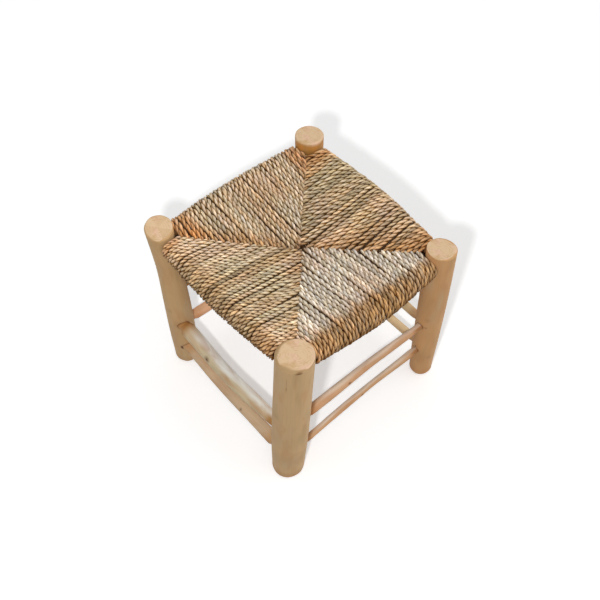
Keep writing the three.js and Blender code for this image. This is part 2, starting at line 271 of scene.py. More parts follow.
def makePiece(name, points, quads, triangles, material, slot, replaced, **attributes):
    # points in millimetres in the stool's own square
    if signedVolume(points - points.mean(0), quads, triangles) < 0:
        quads, triangles = quads[:, ::-1], triangles[:, ::-1]
    mesh = bpy.data.meshes.new(name)
    mesh.vertices.add(len(points))
    mesh.vertices.foreach_set("co", ((points + planShift) * millimetre).astype(np.float32).ravel())
    mesh.loops.add(quads.size + triangles.size)
    mesh.loops.foreach_set("vertex_index", np.concatenate([quads.ravel(), triangles.ravel()]).astype(np.int32))
    starts = np.concatenate([np.arange(len(quads)) * 4, quads.size + np.arange(len(triangles)) * 3])
    mesh.polygons.add(len(starts))
    mesh.polygons.foreach_set("loop_start", starts.astype(np.int32))
    mesh.update(calc_edges=True)
    mesh.validate()
    mesh.shade_smooth()
    for key, values in attributes.items():
        kind, field = ("FLOAT", "value") if values.ndim == 1 else ("FLOAT_VECTOR", "vector")
        if key == "tint":
            kind, field, values = "FLOAT_COLOR", "color", np.c_[values, np.ones(len(values))]
        layer = mesh.attributes.new(key, kind, "POINT")
        layer.data.foreach_set(field, values.astype(np.float32).ravel())
    mesh.materials.append(material)
    piece = addObject(name, mesh)
    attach(piece, "root")
    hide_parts(*replaced)


# Camera, at the photograph's angle: it looks along -back from its place, in millimetres
camera = {
    "azimuth": 48.977, "elevation": 54.047, "roll": 0.334, "distance": 1589.925, "raised": 101.355,
    "lens": 54.916, "sensor": 36,
}


def placeCamera():
    azimuth, elevation, roll = (math.radians(camera[k]) for k in ("azimuth", "elevation", "roll"))
    level = math.cos(elevation)
    back = Vector((math.sin(azimuth) * level, -math.cos(azimuth) * level, math.sin(elevation)))
    right = Vector((math.cos(azimuth), math.sin(azimuth), 0))
    up = back.cross(right)
    rolledRight = right * math.cos(roll) + up * math.sin(roll)
    rolledUp = up * math.cos(roll) - right * math.sin(roll)
    place = (back * camera["distance"] + rolledUp * camera["raised"] + Vector(planShift)) * millimetre
    lens = bpy.data.cameras.new("camera")
    lens.sensor_width, lens.lens = camera["sensor"], camera["lens"]
    lens.clip_start, lens.clip_end = 0.05, 20
    holder = addObject("camera", lens)
    turn = Matrix((rolledRight, rolledUp, back)).transposed()
    holder.matrix_world = Matrix.Translation(place) @ turn.to_4x4()
    bpy.context.scene.camera = holder
    return place, rolledRight, rolledUp


cameraPlace, cameraRight, cameraUp = placeCamera()
print("camera placed")


# Shader groups and materials

def colour(rgb):
    return (*linear(rgb), 1)


class NodeDesk:
    # Short ways to place and join nodes in one tree
    def __init__(self, tree):
        self.tree = tree

    def node(self, kind, **values):
        made = self.tree.nodes.new("ShaderNode" + kind)
        for key, value in values.items():
            setattr(made, key, value)
        return made

    def feed(self, socket, value):
        if isinstance(value, bpy.types.NodeSocket):
            self.tree.links.new(value, socket)
        elif value is not None:
            socket.default_value = value

    def fill(self, node, **values):
        # Feeds the sockets that have these names, with _ for a blank
        for label, value in values.items():
            self.feed(node.inputs[label.replace("_", " ")], value)
        return node

    def attribute(self, name, output):
        return self.node("Attribute", attribute_name=name, attribute_type="GEOMETRY").outputs[output]

    def joined(self, kind, *values, **settings):
        # A node whose sockets are fed in their order
        made = self.node(kind, **settings)
        for socket, value in zip(made.inputs, values):
            self.feed(socket, value)
        return made

    def math(self, operation, a, b=None):
        return self.joined("Math", a, b, operation=operation).outputs[0]

    def times(self, a, b):
        return self.math("MULTIPLY", a, b)

    def plus(self, a, b):
        return self.math("ADD", a, b)

    def vector(self, operation, a, b):
        made = self.joined("VectorMath", a, b, operation=operation)
        return made.outputs["Value" if operation == "DISTANCE" else "Vector"]

    def scaled(self, place, size):
        return self.vector("MULTIPLY", place, tuple(1 / length for length in size))

    def noise(self, place, scale, detail=2, roughness=0.5, distortion=0):
        made = self.node("TexNoise")
        self.fill(made, Vector=place, Scale=scale, Detail=detail, Roughness=roughness, Distortion=distortion)
        return made.outputs["Fac"]

    def spread(self, value, low, high, outLow=0, outHigh=1):
        made = self.node("MapRange", clamp=True, interpolation_type="SMOOTHSTEP")
        self.fill(made, Value=value, From_Min=low, From_Max=high, To_Min=outLow, To_Max=outHigh)
        return made.outputs["Result"]

    def mix(self, share, a, b, blend="MIX"):
        made = self.node("Mix", data_type="RGBA", blend_type=blend)
        for index, value in ((0, share), (6, a), (7, b)):
            self.feed(made.inputs[index], value)
        return made.outputs[2]

    def surface(self, kind, shader):
        self.fill(self.node(kind), Surface=shader.outputs[0])


def openTree(owner):
    # An empty tree in a material, a lamp or the world
    owner.use_nodes = True
    owner.node_tree.nodes.clear()
    return NodeDesk(owner.node_tree)


def newGroup(name, inputs):
    group = bpy.data.node_groups.new(name, "ShaderNodeTree")
    for label, kind, value in inputs:
        socket = group.interface.new_socket(label, in_out="INPUT", socket_type="NodeSocket" + kind)
        if value is not None:
            socket.default_value = value
    for label, kind in (("Color", "Color"), ("Roughness", "Float"), ("Height", "Float")):
        group.interface.new_socket(label, in_out="OUTPUT", socket_type="NodeSocket" + kind)
    return group, NodeDesk(group), group.nodes.new("NodeGroupInput").outputs, group.nodes.new("NodeGroupOutput")


def makeMaterial(name, group, form):
    # The group, fed with the piece's own attributes, drives colour, roughness and bump
    material = bpy.data.materials.new(name)
    desk = openTree(material)
    pattern = desk.node("Group", node_tree=group)
    for label, attribute, output in (("Tint", "tint", "Color"), ("Grain", "grain", "Vector"),
                                     ("End", "sawn", "Fac"), ("MarksAndShade", "mark", "Fac")):
        if label in pattern.inputs:
            desk.feed(pattern.inputs[label], desk.attribute(attribute, output))
    bump = desk.fill(desk.node("Bump"), Strength=form["bumpStrength"], Distance=form["bump"],
                     Height=pattern.outputs["Height"])
    shader = desk.fill(desk.node("BsdfPrincipled"), Base_Color=pattern.outputs["Color"],
                       Roughness=pattern.outputs["Roughness"], Normal=bump.outputs["Normal"],
                       Specular_IOR_Level=form["gloss"])
    desk.surface("OutputMaterial", shader)
    return material, pattern


# Peeled wood. Its place is the attribute grain: across the pole in x and y, along it in z.
wood = {
    "streak": (0.0016, 0.0016, 0.07), "patch": (0.016, 0.016, 0.06),
    "ringSpacing": 0.0036, "pith": (0.0024, -0.0018, 0),
    "mark": (84, 30, 0), "orange": (192, 130, 78), "pale": (206, 184, 148), "khaki": (168, 146, 98),
    "endTint": (232, 200, 160), "endRing": (204, 166, 118), "endPink": (240, 198, 170), "endDark": (206, 164, 112),
    "bumpStrength": 0.6, "bump": 0.0005, "gloss": 0.2,
}


def makeWoodGroup():
    group, desk, given, result = newGroup("peeledWood", [
        ("Tint", "Color", colour((190, 150, 106))), ("Grain", "Vector", None), ("End", "Float", 0),
        ("MarksAndShade", "Float", 0), ("Orange", "Float", 0.35)])

    def layer(below, share, name):
        return desk.mix(share, below, colour(wood[name]))

    broad = desk.scaled(given["Grain"], wood["patch"])
    streak = desk.noise(desk.scaled(given["Grain"], wood["streak"]), 1, 3, 0.6, 0.3)
    patch = desk.noise(broad, 1, 3, 0.55, 0.6)
    stain = desk.noise(desk.vector("ADD", broad, (13.1, 5.7, 2.9)), 0.6)
    side = layer(given["Tint"], desk.times(desk.spread(patch, 0.42, 0.72), given["Orange"]), "orange")
    side = layer(side, desk.spread(stain, 0.52, 0.76, 0, 0.4), "pale")
    side = layer(side, desk.spread(stain, 0.46, 0.3, 0, 0.25), "khaki")
    side = desk.mix(1, side, desk.spread(streak, 0.28, 0.72, 0.96, 1.03), "MULTIPLY")

    # Sawn end: rings round a pith a little off the axis, and faint saw marks across them
    flat = desk.vector("MULTIPLY", given["Grain"], (1, 1, 0))
    wander = desk.noise(flat, 90)
    fromPith = desk.vector("DISTANCE", flat, wood["pith"])
    ringPlace = desk.plus(desk.math("DIVIDE", fromPith, wood["ringSpacing"]), desk.times(wander, 3.2))
    ring = desk.math("SINE", desk.times(ringPlace, fullTurn))
    ringMask = desk.times(desk.spread(ring, -0.2, 1, 0, 0.6), desk.spread(wander, 0.42, 0.62))
    saw = desk.noise(desk.vector("MULTIPLY", flat, (90, 420, 1)), 1)
    end = layer(colour(wood["endTint"]), ringMask, "endRing")
    end = layer(end, desk.spread(desk.noise(flat, 60), 0.48, 0.66, 0, 0.7), "endPink")
    end = layer(end, desk.spread(saw, 0.5, 0.75, 0, 0.45), "endRing")
    end = layer(end, desk.spread(desk.noise(flat, 34, 3, 0.6, 0.8), 0.5, 0.72, 0, 0.75), "endDark")

    sawHeight = desk.times(desk.times(saw, given["End"]), 0.4)
    height = desk.plus(desk.times(streak, 0.3), sawHeight)
    # Dark marks: knots and dashes in the wood, and painted shade at the joints
    desk.fill(result, Color=layer(desk.mix(given["End"], side, end), given["MarksAndShade"], "mark"),
              Roughness=desk.spread(streak, 0.2, 0.8, 0.5, 0.66),
              Height=desk.math("SUBTRACT", height, desk.times(given["MarksAndShade"], 0.2)))
    return group


def makeWood(name, orange):
    material, pattern = makeMaterial(name, woodGroup, wood)
    pattern.inputs["Orange"].default_value = orange
    return material


# Twisted palm cord. grain runs across and along each ply.
palm = {
    "fibre": (0.00042, 0.00042, 0.009), "leaf": (0.00126, 0.00126, 0.018),
    "dark": (92, 62, 34), "shine": (250, 238, 212), "bumpStrength": 0.7, "bump": 0.0004, "gloss": 0.08,
}


def makeCordGroup():
    group, desk, given, result = newGroup("palmFibre", [
        ("Tint", "Color", colour((190, 160, 112))), ("Grain", "Vector", None)])
    fibre, leaf = (desk.noise(desk.scaled(given["Grain"], palm[name]), 1, 2, roughness, 0.2)
                   for name, roughness in (("fibre", 0.6), ("leaf", 0.5)))
    body = desk.mix(desk.spread(fibre, 0.3, 0.62, 0.55, 0), given["Tint"], colour(palm["dark"]), "MULTIPLY")
    # The pale shine mixed into the leaf strips is a painted highlight
    desk.fill(result, Color=desk.mix(desk.spread(leaf, 0.52, 0.74, 0, 0.4), body, colour(palm["shine"])),
              Roughness=desk.spread(leaf, 0.3, 0.7, 0.62, 0.42), Height=desk.plus(fibre, desk.times(leaf, 0.6)))
    return group


woodGroup = makeWoodGroup()
legWood = makeWood("legWood", 0.3)
poleWood = makeWood("poleWood", 0.5)
palmCord = makeMaterial("palmCord", makeCordGroup(), palm)[0]
print("materials ready")


# Shapes that legs and poles share

def waves(rows, around, along, phase):
    # Sum of sine waves, each a size, a number of crests round and a length along
    return sum(size * np.sin(crests * around + along / length + shift)
               for (size, crests, length), shift in zip(rows, phase))


def roundGrid(form, along, rng):
    around = np.arange(form["sideCount"])[None, :] * fullTurn / form["sideCount"]
    return around, along[:, None], rng.uniform(0, fullTurn, 6)


def spotNearness(around, along, girth, turn, level, wide, tall):
    # Distance from a spot on the surface, where 1 is its half width or half height
    degrees = (np.degrees(around) - turn + 180) % 360 - 180
    return np.hypot(np.radians(degrees) * girth / wide, (along - level) / tall)


def addKnot(form, around, along, girth, turn, level, size, radius, mark):
    # A low swelling with a pit in it, a dark heart and a ring round that, each a bell of the
    # distance from the knot
    near = spotNearness(around, along, girth, turn, level, size, size * form["tall"])
    swell, pit, heart, ring = (form[k] for k in ("swell", "pit", "heart", "ring"))
    radius += swell[0] * bell(near / swell[1]) - pit[0] * bell(near / pit[1])
    np.maximum(mark, heart[0] * bell(near / heart[1]) + ring[0] * bell((near - ring[2]) / ring[1]), out=mark)


def toneDrift(form, along, seed):
    # Slow changes of tone along the wood: smooth noise, as a share
    size, length = form["toneDrift"]
    return size * valueNoise(along / length + seed, seed)[:, None]


def poleGrain(radius, around, along):
    return np.stack([radius * np.cos(around), radius * np.sin(around), along + 0 * around], -1)


# Poles between the legs

pole = {
    "tenonStop": 9.5, "tenonShare": 0.78, "whittled": 9, "step": 1.5, "sideCount": 40,
    "facets": 9, "facetDepth": 0.045, "facetEnd": (0.9, 1.7), "lumpSink": 0.25,
    "jointShade": 0.6, "jointReach": (-0.7, 0.3), "endTintReach": (0.7, 2.6), "toneDrift": (0.06, 23),
    # The paler top of some poles is a painted highlight: its turn, wave, reach and fade along the pole
    "topTurn": 0.7, "topWave": (0.12, 13), "topReach": (0.1, 0.9), "topStart": (0.04, 0.22), "topEnd": (0.5, 0.9, 0.8),
    "waves": [(0.22, 2, 47), (0.16, 3, -29), (0.12, 5, 17), (0.2, 0, 21)],
    "knot": {"tall": 1.15, "swell": (0.5, 1.4), "pit": (0.5, 0.35), "heart": (1.2, 0.48), "ring": (0.28, 0.2, 0.85)},
}


def poleRoute(p):
    # The line between the axes of a pole's two legs, and how far their faces are along it
    pair = [legs[name] for name in sides[p["side"]]]
    start, end = (legCentre(leg, height) for leg, height in zip(pair, p["heights"]))
    along = (end - start) * (1, 1, 0)
    along = along / np.linalg.norm(along)
    outward = np.array([along[1], -along[0], 0])
    start, end = (point + outward * spacing * out for point, out in zip((start, end), p.get("outward", (0, 0))))
    span = np.linalg.norm(end - start)
    firstRadius, lastRadius = (float(legRadius(leg, height)) for leg, height in zip(pair, p["heights"]))
    return {"start": start, "end": end, "span": span, "outward": outward,
            "firstFace": firstRadius, "lastFace": span - lastRadius}


def makePole(name, p):
    # Rings round a straight line bowed by a squared sine. Radius: girth curve, drawn in to
    # the tenon by a smooth whittled cone with knife facets, plus slow lumps and knots.
    rng = np.random.default_rng(p["seed"])
    route = poleRoute(p)
    firstFace, lastFace, outward = route["firstFace"], route["lastFace"], route["outward"]
    ends = pole["tenonStop"], route["span"] - pole["tenonStop"]
    distance = np.linspace(*ends, int((ends[1] - ends[0]) / pole["step"]))
    share = np.clip((distance - firstFace) / (lastFace - firstFace), 0, 1)
    bend = spacing * np.sin(math.pi * share) ** 2
    centre = lerp(route["start"], route["end"], (distance / route["span"])[:, None])
    centre += outward * (p["bow"][0] * bend)[:, None]
    centre[:, 2] += p["bow"][1] * bend

    a, d, phase = roundGrid(pole, distance, rng)
    body = p["diameter"] / 2 * smoothThrough(p["girths"], share)
    fromFace = np.minimum(distance - firstFace, lastFace - distance)
    whittled = pole["whittled"]
    cone = ramp(fromFace, 0, whittled)
    radius = lerp(p["tenon"] / 2, body, cone)[:, None]
    radius = radius + (waves(pole["waves"], a, d, phase) - pole["lumpSink"]) * cone[:, None]
    facet = (a * pole["facets"] / fullTurn + phase[4]) % 1 - 0.5
    knife = 1 - pole["facetDepth"] * (1 - 4 * facet ** 2)
    coneOnly = ramp(fromFace, -1, 2) * (1 - ramp(fromFace, *(whittled * k for k in pole["facetEnd"])))
    radius *= lerp(1, knife, coneOnly[:, None])
    mark = np.zeros_like(radius)
    for where, turn, size in p["knots"]:
        addKnot(pole["knot"], a, d, body[:, None], turn, lerp(firstFace, lastFace, where), size, radius, mark)

    upward = np.array([0, 0, 1])
    rings = centre[:, None, :] + radius[..., None] * (np.cos(a)[..., None] * upward + np.sin(a)[..., None] * outward)
    # Painted shade on the pole where it goes into each leg
    for leg in (legs[k] for k in sides[p["side"]]):
        level = rings[..., 2] / stool["height"]
        offset = rings - legCentre(leg, level)
        depth = legRadius(leg, level) - np.hypot(offset[..., 0], offset[..., 1])
        mark = np.maximum(mark, pole["jointShade"] * ramp(depth, *pole["jointReach"]))
    grain = withEnds(poleGrain(radius, a, d), [[0, 0, end] for end in ends]) * millimetre
    grain[:, 2] += rng.uniform(0, 1, 3)[2]

    endMix = (1 - ramp(fromFace, *(whittled * k for k in pole["endTintReach"])))[:, None]
    tint = lerp(linear(p["tint"]), linear(p["endTint"]), endMix)
    tint = tint * (1 + toneDrift(pole, distance, p["seed"]))
    tint = np.repeat(tint[:, None, :], a.size, 1)
    # Painted highlight: a paler band along the pole's lit top, turned a little inward
    if "paintedTopShading" in p:
        size, length = pole["topWave"]
        topHighlight = ramp(np.cos(a + pole["topTurn"]) + size * np.sin(d / length + phase[5]), *pole["topReach"])
        fadeFrom, fadeTo, faded = pole["topEnd"]
        topHighlight = topHighlight * (ramp(share, *pole["topStart"]) * lerp(1, faded, ramp(share, fadeFrom, fadeTo)))[:, None]
        tint = lerp(tint, linear(p["paintedTopShading"]), topHighlight[..., None])
    points = withEnds(rings, centre[[0, -1]])
    makePiece(name + "_pole", points, *tubeFaces(*radius.shape), poleWood, "pole_wood", [name],
              grain=grain, tint=withEnds(tint, tint[[0, -1], [0, -1]]),
              mark=withEnds(np.clip(mark, 0, 1), [1, 1]), sawn=np.zeros(len(points)))


allPoles = {}
railEnd = rails["endDiameter"] / rails["middleDiameter"]
railQuarter = lerp(railEnd, 1, rails["shoulder"])
for index, side in enumerate(sides):
    allPoles["seat_rail_" + side] = {
        "side": side, "diameter": rails["middleDiameter"], "tenon": rails["tenonDiameter"],
        "heights": (railShare, railShare), "bow": (rails["bow"] * rails["bowShares"][side] / spacing, 0),
        "girths": (railEnd, railQuarter, 1, railQuarter, railEnd), "knots": [],
        "tint": rails["tint"], "endTint": rails["endTint"], "seed": rails["firstSeed"] + index,
    }
for name, p in stretchers.items():
    allPoles[name] = dict(p, side=name.split("_")[1], tenon=p["diameter"] * pole["tenonShare"])
for name, p in allPoles.items():
    makePole(name, p)
print("poles made", len(allPoles))


# Legs

legForm = {
    "footRounding": 6, "slantDepth": 26, "step": 1.1, "sideCount": 150, "capRings": 14, "edgeRings": 9,
    "rimReach": 0.35, "rimDepth": 2.2, "mortiseRimShade": 0.6, "haloShadeDark": 0.1, "haloShadeReach": 5, "dent": 0.3,
    "lowReach": (2, 26), "paintedTopShadingReach": (290, 305), "toneDrift": (0.05, 31), "frayWave": (1.2, 3),
    "waves": [(0.26, 2, 83), (0.2, 3, -57), (0.13, 5, 41), (0.1, 8, -67)], "lumpSink": 0.35,
    "knot": {"tall": 1.2, "swell": (0.55, 1.5), "pit": (0.5, 0.35), "heart": (0.25, 0.4), "ring": (0.1, 0.22, 0.85)},
}


def sinkMortise(p, name, points, mark):
    # Vertices near a tenon's axis, on its side of the leg, sink and darken: painted shade in the rim of the hole, and a
    # fainter painted shade round it
    route = poleRoute(p)
    tip, inner = route["start"], route["end"]
    if sides[p["side"]][0] != name:
        tip, inner = inner, tip
    direction = (inner - tip) / np.linalg.norm(inner - tip)
    offset = points - tip
    distance = offset @ direction
    across = np.linalg.norm(offset - distance[..., None] * direction, axis=-1)
    reach = p["tenon"] / 2 + legForm["rimReach"]
    facing = distance > 0
    hole = facing * (1 - ramp(across, reach - 1, reach))
    rim = legForm["mortiseRimShade"] * (1 - ramp(across, reach - 0.1, reach + 0.5))
    haloShade = legForm["haloShadeDark"] * (1 - ramp(across, reach + 0.5, reach + legForm["haloShadeReach"]))
    points -= direction * (hole * legForm["rimDepth"])[..., None]
    np.maximum(mark, facing * np.maximum(rim, haloShade), out=mark)


def makeLeg(name, leg):
    # A profile carried round the leg's axis: flat foot, rounded edge, side, rounded and
    # slanted top. Lumps are waves round and along it; mortises sink a ring round each pole.
    rng = np.random.default_rng(leg["seed"])
    top = stool["height"] * leg["lengthShare"]
    foot, rounding = legForm["footRounding"], leg["rounding"]
    quarter = np.linspace(0, math.pi / 2, legForm["edgeRings"])
    inward, upward = 1 - np.cos(quarter), 1 - np.sin(quarter)
    sideHeights = np.linspace(foot, top - rounding, int(top / legForm["step"]))[1:-1]
    counts = [legForm[k] for k in ("capRings", "edgeRings")]
    counts = counts + [len(sideHeights)] + counts[::-1]

    def profile(*parts):
        # One value or row each for the foot's flat and edge, the side, and the top's edge and flat
        return np.concatenate([np.broadcast_to(part, count) for part, count in zip(parts, counts)])

    capShares = np.linspace(0.05, 0.96, legForm["capRings"])
    height = profile(0, foot * inward, sideHeights, top - rounding * upward, top)
    footDraw = profile(foot, foot * upward, 0, 0, 0)
    topDraw = profile(0, 0, 0, rounding * inward, rounding)
    capShare = profile(capShares, 1, 1, 1, capShares[::-1])
    share = height / stool["height"]
    centre = legCentre(leg, share)
    centre[:, :2] += topDraw[:, None] * np.array(leg["wear"])

    a, h, phase = roundGrid(legForm, height, rng)
    body = legRadius(leg, share)[:, None]
    radius = body - (footDraw + topDraw)[:, None] + waves(legForm["waves"], a, h, phase) - legForm["lumpSink"]
    mark = np.zeros_like(radius)
    for knot in leg["knots"]:
        addKnot(legForm["knot"], a, h, body, *knot, radius, mark)
    for turn, level, wide, tall, dark in leg["marks"]:
        spot = dark * bell(spotNearness(a, h, body, turn, level, wide, tall) ** 2)
        mark = np.maximum(mark, spot)
        radius -= legForm["dent"] * spot
    radius *= capShare[:, None]
    slanted = ramp(height, top - legForm["slantDepth"], top)[:, None]
    grain = poleGrain(radius, a, h)
    points = grain + np.concatenate([centre[:, :2], 0 * h], -1)[:, None, :]
    points[..., 2] += slanted * (grain[..., :2] @ leg["slant"])
    for p in allPoles.values():
        if name in sides[p["side"]]:
            sinkMortise(p, name, points, mark)

    grain = withEnds(grain, [[0, 0, 0], [0, 0, top]]) * millimetre
    grain[:, 2] += rng.uniform(0, 3)
    sawn = profile(1, np.linspace(1, 0, len(quarter)) ** 2, 0, ramp(quarter, 1.1, 1.55), 1)
    size, crests = legForm["frayWave"]
    frayed = ramp(h - size * np.sin(crests * a + phase[4]), top - leg["frayed"], top)
    sawn = np.maximum(sawn[:, None] * leg["sawnShare"], frayed)
    low = (1 - ramp(height, *legForm["lowReach"]))[:, None]
    rim = profile(0, 0, 0, ramp(quarter, 0, 0.8), 1)[:, None]
    tone = 1 + toneDrift(legForm, height, leg["seed"]) - low * leg["lowShade"] - leg["rimShade"] * rim
    tint = linear(leg["tint"]) * tone
    # Painted shade: a darker orange band just under the end, on the leg that has one
    if leg["paintedTopShading"]:
        tint = lerp(tint, linear(leg["paintedTopShading"]), ramp(height, *legForm["paintedTopShadingReach"])[:, None])
    tint = np.repeat(tint[:, None, :], a.size, 1)
    makePiece(name + "_pole", withEnds(points, [points[0].mean(0), points[-1].mean(0)]), *tubeFaces(*radius.shape),
              legWood, "leg_wood", [name], grain=grain, tint=withEnds(tint, tint[[0, -1], 0]),
              mark=withEnds(np.clip(mark, 0, 1), [0, 0]), sawn=withEnds(sawn, sawn[[0, -1], 0]))


for name, leg in legs.items():
    makeLeg(name, leg)
print("legs made", len(legs))


# Woven seat

seat = {
    # Courses: how many, how they spread, and how they draw in round the legs
    "coursesPerCorner": 19, "legToCordGap": 0.8, "pitchJitter": 0.15, "wideGaps": (0.16, 0.3), "gapRange": (0.75, 1.55),
    "firstGap": 0.5, "mitreEnding": 0.55, "railEnding": 0.45, "railOwnShare": 0.6, "hug": 2.6, "hugCourses": 3,
    # Heights above and below the rails, and how the ends turn down at the mitre
    "riseAtCorner": 10, "riseAtCentre": 0.5, "dropAtCorner": 15, "dropAtCentre": 23,
    "pastOver": (3.4, 0.8), "pastUnder": 1.5, "overRise": 1, "overDive": 6.5, "underDive": 4.6,
    # Cord and its two plies
    "cord": 6.3, "thickness": 7.1, "plyOffset": 0.233, "plyRadius": 0.268, "plyWide": 1.2, "lay": 24.5,
    "step": 1.6, "sideCount": 12, "wander": 0.7, "sink": 0.55, "plyWaves": [(0.06, 2, 3.1), (0.05, 3, -4.7)],
    "thickSpread": 0.05, "thickDrift": 0.06, "laySpread": 0.09, "turnDrift": 0.8, "lumpDrift": 0.05,
    "wrapTwist": {"front": 0.5, "right": 0, "back": 0, "left": 0},
    # Painted light and shade within the winding
    "fleck": (0.03, 0, -0.1), "notch": (0.36, 0.4, 0.5), "valley": (0.27, 0.15, 0.015), "crest": (1.33, 1.33, 1.42),
    "body": {"front": (1.33, 1.22, 1.07), "right": (1.14, 1.12, 1.18), "back": (1.2, 1.04, 0.84),
             "left": (1.14, 1.08, 0.96)},
    "plyShade": {"front": 1, "right": 0.35, "back": 1, "left": 0.5},
    "gapShade": {"front": 0.2, "right": 1, "back": 0.3, "left": 0.95},
    "wrapGap": {"front": 0.55, "right": 0.7, "back": 0.3, "left": 0.3},
    "wrapShade": {"front": 1.16, "right": 0.84, "back": 1, "left": 1},
    "underFrom": 311, "underReach": 13, "underShade": 0.9, "underFlat": 0.4,
    # The body inside, dark brown: painted shade seen through the gaps between courses
    "core": 4.6, "coreShadeTint": (68, 34, 0), "coreClearance": 3, "coreRings": 61, "coreTurns": 24, "coreFlat": 9,
}
tones = {
    "straw": (234, 209, 166), "grey": (245, 242, 226), "green": (216, 212, 172), "pink": (238, 206, 180),
    "gold": (220, 184, 120), "orange": (210, 152, 82), "rust": (192, 114, 34), "brown": (170, 123, 66),
}
# Painted shade in hollows of the seat, in the middle and beside three legs: x, y, radius, darkness
hollowShadeTint = (138, 84, 24)
shadedHollows = [(-1, 1, 9, 1), (-126, 125, 8, 0.9), (-125, -122, 5, 0.5), (128, 126, 6, 0.5)]
corners = {
    "front_left": {"over": "left", "under": "front", "lift": 4, "seed": 101},
    "front_right": {"over": "front", "under": "right", "lift": 4, "seed": 103},
    "back_right": {"over": "right", "under": "back", "lift": 4, "seed": 107},
    "back_left": {"over": "back", "under": "left", "lift": 7.6, "seed": 109},
}


def seatPlace(x, y, height):
    # A place in the seat's own square, moved to the four legs as they really stand
    shareX, shareY = (((v + half) / spacing)[..., None] for v in (x, y))
    at = {key: legCentre(legs["leg_" + key], railShare) for key in corners}
    point = lerp(lerp(at["front_left"], at["front_right"], shareX),
                 lerp(at["back_left"], at["back_right"], shareX), shareY)
    point[..., 2] = stool["railHeight"] + height
    return point


def courseInsets(leg, rng, ending):
    # Uneven places of the courses from the leg to the middle: random gaps that fill the span
    first = float(legRadius(leg, railShare)) + seat["legToCordGap"]
    gaps = 1 + seat["pitchJitter"] * rng.standard_normal(seat["coursesPerCorner"] + 1)
    chance, extra = seat["wideGaps"]
    gaps = np.clip(gaps + np.where(rng.random(len(gaps)) < chance, extra, 0), *seat["gapRange"])
    gaps[1:5] = lerp(gaps[1:5], 0.95, 0.7)
    gaps[[0, -1]] *= (seat["firstGap"], ending)
    return first + np.cumsum(gaps)[:-1] * (half - first) / gaps.sum()


def railSection(side, inset, lie, lift=0):
    # The winding seen from the end of its rail, lie inside its skin: a circle round the bowed
    # rail, the two flat heights, and the angles at which straight lines from inside touch it
    alongRail = math.sin(math.pi * inset / spacing)
    radius = lerp(rails["endDiameter"], rails["middleDiameter"], alongRail) / 2 + (seat["cord"] - lie)
    bow = rails["bow"] * rails["bowShares"][side] * alongRail ** 2
    reach, toCentre = inset + bow, inset / half
    top = lerp(seat["riseAtCorner"], seat["riseAtCentre"], toCentre) - lie + lift
    low = lie - lerp(seat["dropAtCorner"], seat["dropAtCentre"], toCentre)
    topTouch = math.atan2(top, reach) + math.acos(radius / math.hypot(reach, top))
    lowTouch = math.atan2(low, reach) - math.acos(radius / math.hypot(reach, low)) + fullTurn
    return radius, bow, top, low, topTouch, lowTouch


def roundRail(radius, bow, turns):
    return np.stack([radius * np.cos(turns) - bow, radius * np.sin(turns)], -1)


def straightRun(start, end):
    steps = max(int(np.linalg.norm(end - start) / seat["step"]), 3)
    return lerp(start, end, np.linspace(0, 1, steps)[:, None])


def courseLine(side, inset, lift, isOver):
    # One course as inward distance and height: straight from the mitre to the rail, round
    # the rail, and straight back underneath, with its ends turned down at the mitre
    radius, bow, top, low, topTouch, lowTouch = railSection(side, inset, seat["cord"] / 2, lift)
    topEdge, lowEdge = roundRail(radius, bow, np.array([topTouch, lowTouch]))
    past = lerp(*seat["pastOver"], ramp(inset / half, 0.93, 0.97)) if isOver else seat["pastUnder"]
    topRun, lowRun = (straightRun(np.array([inset + past, flat + (flat - edge[1]) * past / (inset - edge[0])]), edge)
                      for flat, edge in ((top, topEdge), (low, lowEdge)))
    turns = np.linspace(topTouch, lowTouch, int(radius * (lowTouch - topTouch) / seat["step"]))
    wrap = roundRail(radius, bow, turns)[1:-1]
    line = np.concatenate([topRun, wrap, lowRun[::-1]])
    onRail = np.concatenate([np.linspace(0, 1, len(topRun)), np.ones(len(wrap)), np.linspace(1, 0, len(lowRun))])
    sign = np.concatenate([np.ones(len(topRun)), np.zeros(len(wrap)), -np.ones(len(lowRun))])
    past = line[:, 0] - inset
    if isOver:
        bend = seat["overRise"] * bell(past / 5) - seat["overDive"] * ramp(past, 0.2, 3.4)
    else:
        bend = -seat["underDive"] * ramp(past, -6, -0.5)
    line[:, 1] += sign * bend
    return line, onRail


